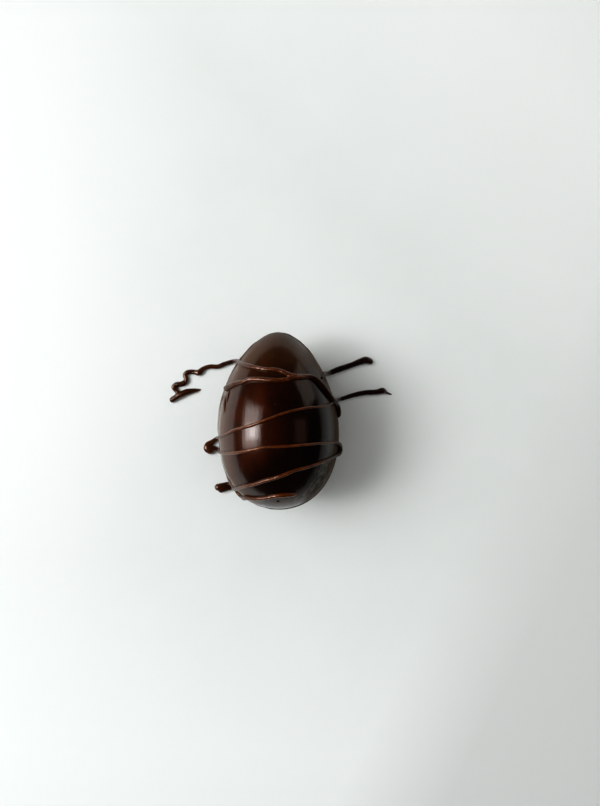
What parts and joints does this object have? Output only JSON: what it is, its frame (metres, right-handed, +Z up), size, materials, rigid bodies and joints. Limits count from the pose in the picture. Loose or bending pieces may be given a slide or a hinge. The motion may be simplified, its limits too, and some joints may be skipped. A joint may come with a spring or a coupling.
{
  "type": "chocolate egg",
  "caption": "Glossy dark chocolate egg lying on its side, with chocolate drizzled back and forth across it and set in tails beside it",
  "frame": {"origin": "middle of the small flat that the egg rests on, level with the table", "axes": "+Y along the egg towards its pointed end, +Z straight up, +X to the right seen from above; the longest tails of drizzle run out along X"},
  "size_m": [0.1379, 0.1004, 0.0673],
  "materials": {
    "chocolate": "polished dark chocolate, with a faint grey haze; the drizzle is a little paler and less glossy"
  },
  "bodies": {
    "root": {"chocolate_egg": "chocolate"}
  },
  "joints": []
}
